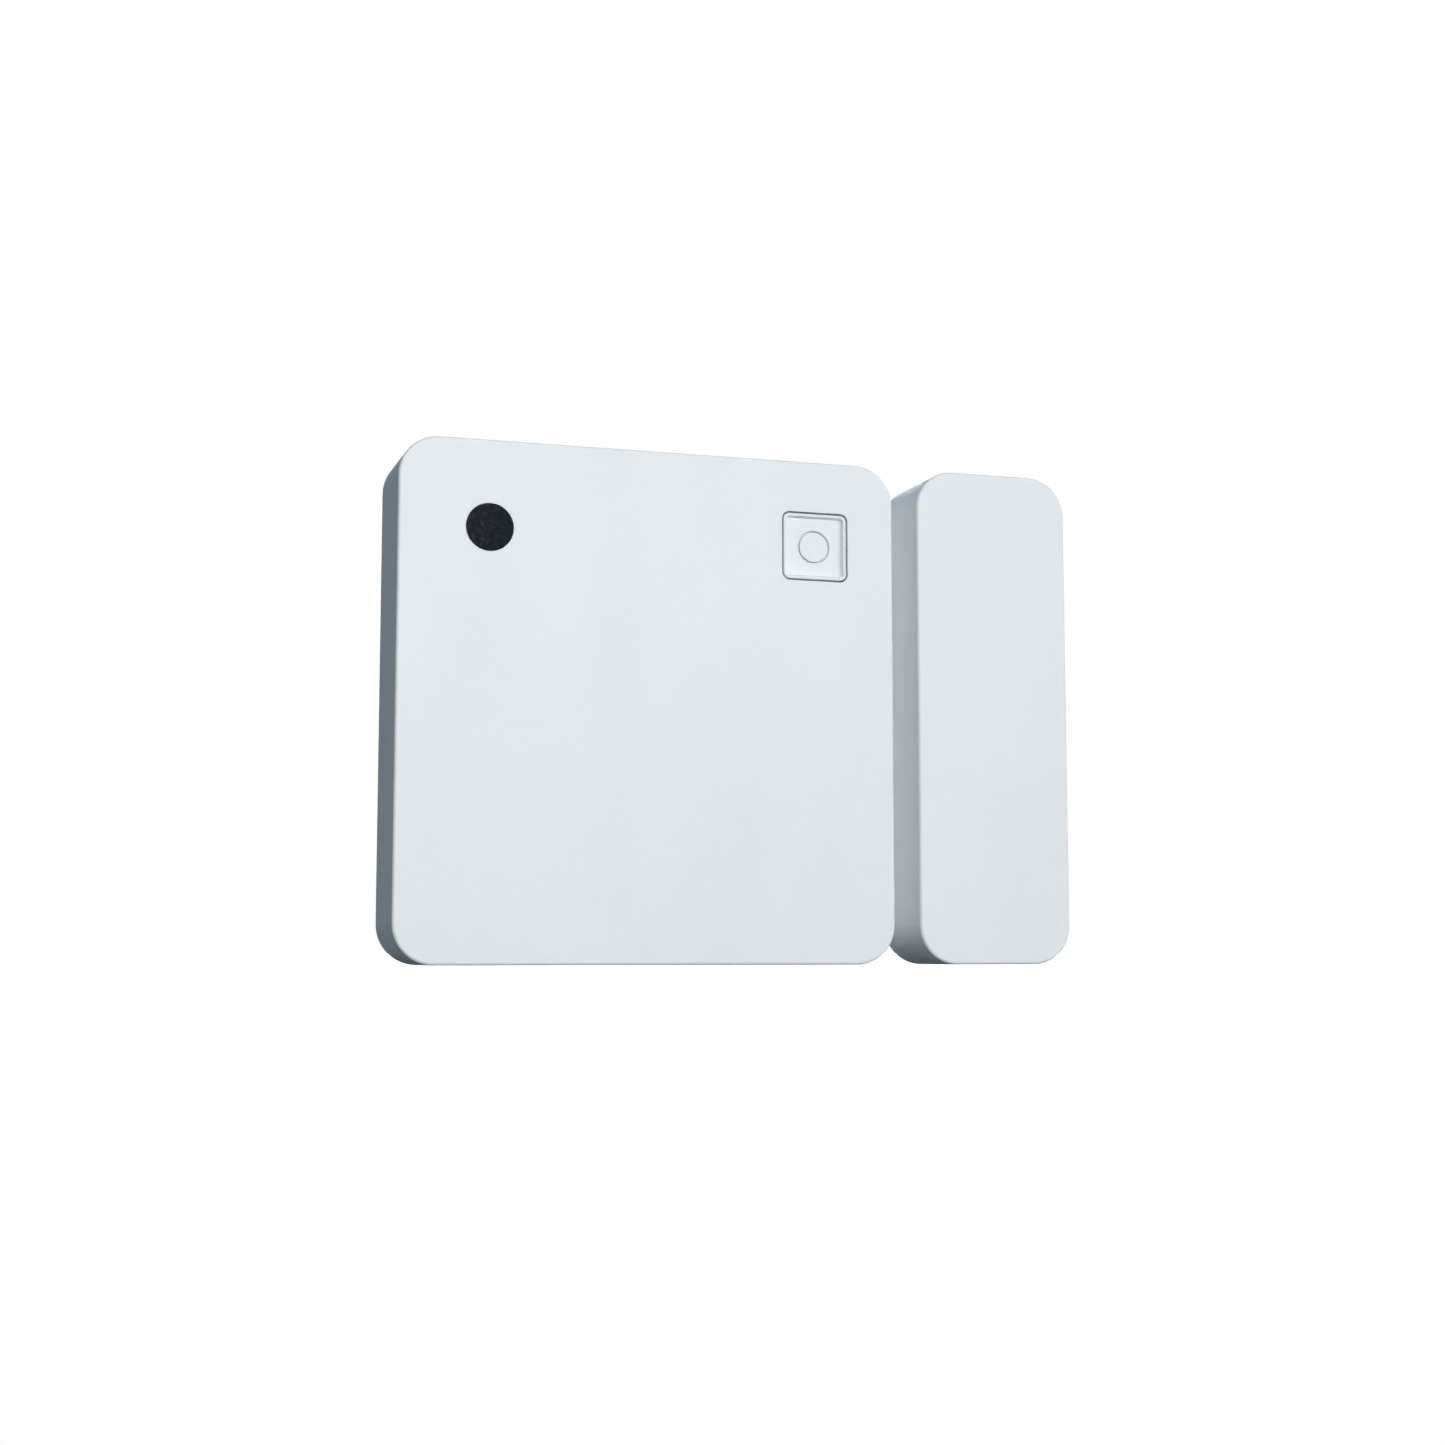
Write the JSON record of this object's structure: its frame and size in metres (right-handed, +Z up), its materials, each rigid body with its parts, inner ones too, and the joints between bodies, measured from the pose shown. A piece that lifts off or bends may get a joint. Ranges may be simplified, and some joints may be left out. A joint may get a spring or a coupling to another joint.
{
  "type": "door contact sensor",
  "caption": "Square wireless contact sensor with a dark lens and a push-button, beside a narrow magnet unit, both backed with adhesive foam.",
  "frame": {"origin": "centre of the sensor unit's adhesive face, which is stuck to the door frame", "axes": "+X from the sensor unit to the magnet unit, +Y into the door frame (the fronts face -Y), +Z up"},
  "size_m": [0.0484, 0.0078, 0.035],
  "materials": {
    "case_white": "fine matte moulded",
    "base_white": "matte moulded",
    "lens_black": "polished dark tint",
    "guide_clear": "clear polished",
    "foam_tape": "closed-cell foam",
    "board_green": "solder mask",
    "module_blue": "solder mask",
    "holder_black": "matte moulded",
    "contact_nickel": "nickel plated",
    "cell_steel": "satin",
    "gasket_grey": "matte",
    "lithium_metal": "dull",
    "cathode_black": "pressed powder",
    "switch_black": "moulded",
    "switch_steel": "stamped",
    "plunger_dark": "moulded",
    "reed_glass": "clear, green tint",
    "reed_metal": "drawn wire",
    "solder": "bright",
    "shield_tin": "tinned",
    "chip_black": "epoxy",
    "trace_gold": "gold flash",
    "led_white": "clear resin over white body",
    "sensor_dark": "clear resin over a dark die",
    "crystal_can": "plated lid",
    "tantalum_amber": "moulded",
    "ceramic_tan": "ceramic",
    "resistor_black": "glazed",
    "magnet_nickel": "nickel plated"
  },
  "bodies": {
    "sensor_base": {"base_plate": "base_white", "sensor_pad": "foam_tape", "circuit_board": "board_green", "cell_holder": "holder_black", "positive_contact": "contact_nickel", "negative_contact": "contact_nickel", "switch_body": "switch_black", "switch_plate": "switch_steel", "switch_terminals": "switch_steel", "switch_dome": "switch_steel", "reed_glass": "reed_glass", "reed_fixed_blade": "reed_metal", "reed_upper_lead": "reed_metal", "reed_solder": "solder", "radio_board": "module_blue", "radio_shield": "shield_tin", "radio_chip": "chip_black", "radio_antenna": "trace_gold", "status_led": "led_white", "light_sensor": "sensor_dark", "crystal": "crystal_can", "reservoir_capacitor": "tantalum_amber", "capacitors": "ceramic_tan", "resistors": "resistor_black", "test_pads": "trace_gold"},
    "front_cover": {"front_cover": "case_white", "lens": "lens_black", "light_guide": "guide_clear"},
    "button": {"button_key": "case_white"},
    "switch_plunger": {"switch_plunger": "plunger_dark"},
    "coin_cell": {"cell_can": "cell_steel", "cell_cap": "cell_steel", "cell_gasket": "gasket_grey", "cell_lithium": "lithium_metal", "cell_cathode": "cathode_black"},
    "reed_armature": {"reed_moving_blade": "reed_metal"},
    "magnet_base": {"magnet_base": "base_white", "bar_magnet": "magnet_nickel", "magnet_pad": "foam_tape"},
    "magnet_cover": {"magnet_cover": "case_white"}
  },
  "joints": [
    {"name": "cover_lift", "type": "slide", "parent": "sensor_base", "child": "front_cover", "axis": [0, -1, 0], "range_m": [0, 0.022]},
    {"name": "button_press", "type": "slide", "parent": "front_cover", "child": "button", "axis": [0, 1, 0], "range_m": [0, 0.00025], "stiffness_N_per_m": 4000, "springref_m": -0.00015},
    {"name": "switch_press", "type": "slide", "parent": "sensor_base", "child": "switch_plunger", "axis": [0, 1, 0], "range_m": [0, 0.00025], "deforming": ["switch_dome"]},
    {"name": "battery_lift", "type": "slide", "parent": "sensor_base", "child": "coin_cell", "axis": [0, -1, 0], "range_m": [0, 0.0088]},
    {"name": "magnet_travel", "type": "slide", "parent": "sensor_base", "child": "magnet_base", "axis": [1, 0, 0], "range_m": [0, 0.03]},
    {"name": "reed_open", "type": "hinge", "parent": "sensor_base", "child": "reed_armature", "pos_m": [0.0135, -0.0043, 0.00025], "axis": [0, -1, 0], "range_deg": [0, 2]},
    {"name": "magnet_cover_lift", "type": "slide", "parent": "magnet_base", "child": "magnet_cover", "axis": [0, -1, 0], "range_m": [0, 0.022]}
  ],
  "couplings": [
    {"joint": "switch_press", "follows": "button_press", "ratio": 1},
    {"joint": "battery_lift", "follows": "cover_lift", "ratio": 0.4},
    {"joint": "reed_open", "follows": "magnet_travel", "rad_per_m": 1.16}
  ]
}
